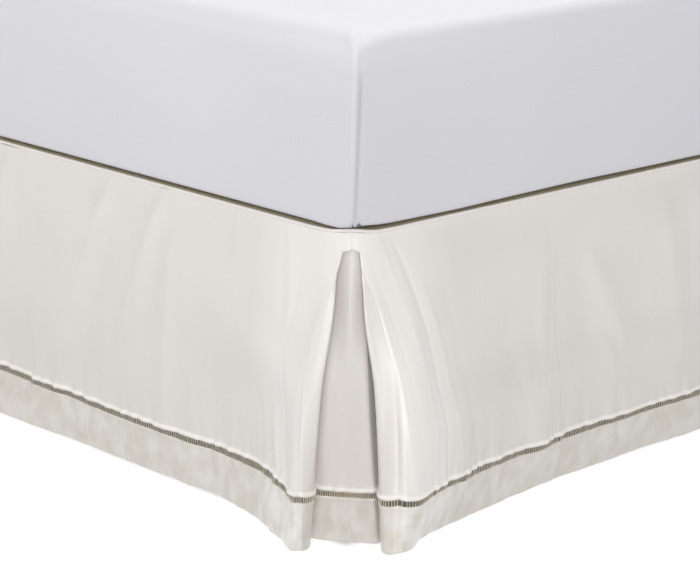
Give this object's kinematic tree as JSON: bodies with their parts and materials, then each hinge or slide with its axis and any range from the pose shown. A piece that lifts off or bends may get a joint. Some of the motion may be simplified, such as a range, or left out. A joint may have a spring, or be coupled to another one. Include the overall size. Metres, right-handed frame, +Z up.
{
  "type": "bed skirt on a bed",
  "caption": "Tailored bed skirt with hemstitched hems and inverted pleats at the foot corners, hanging under the mattress of a plain bed with legs.",
  "frame": {"origin": "on the floor, under the middle of the whole model's box", "axes": "+Z up; +Y towards the head of the bed, the foot of the bed at -Y; +X to the right of the bed for someone who stands at its foot and looks towards the head"},
  "size_m": [1.6958, 2.1194, 0.6243],
  "materials": {
    "skirt_cloth": "ivory cotton sateen, soft low sheen",
    "mattress_cover": "cool white knit cover, matte",
    "base_cover": "plain oatmeal woven cover, matte",
    "leg_wood": "oiled beech, satin"
  },
  "bodies": {
    "root": {"deck": "skirt_cloth", "drop_foot": "skirt_cloth", "drop_right": "skirt_cloth", "drop_left": "skirt_cloth", "pleat_right": "skirt_cloth", "pleat_left": "skirt_cloth", "mattress": "mattress_cover", "bed_base": "base_cover", "leg_foot_right": "leg_wood", "leg_foot_left": "leg_wood", "leg_middle_right": "leg_wood", "leg_middle_left": "leg_wood", "leg_head_right": "leg_wood", "leg_head_left": "leg_wood"}
  },
  "joints": []
}
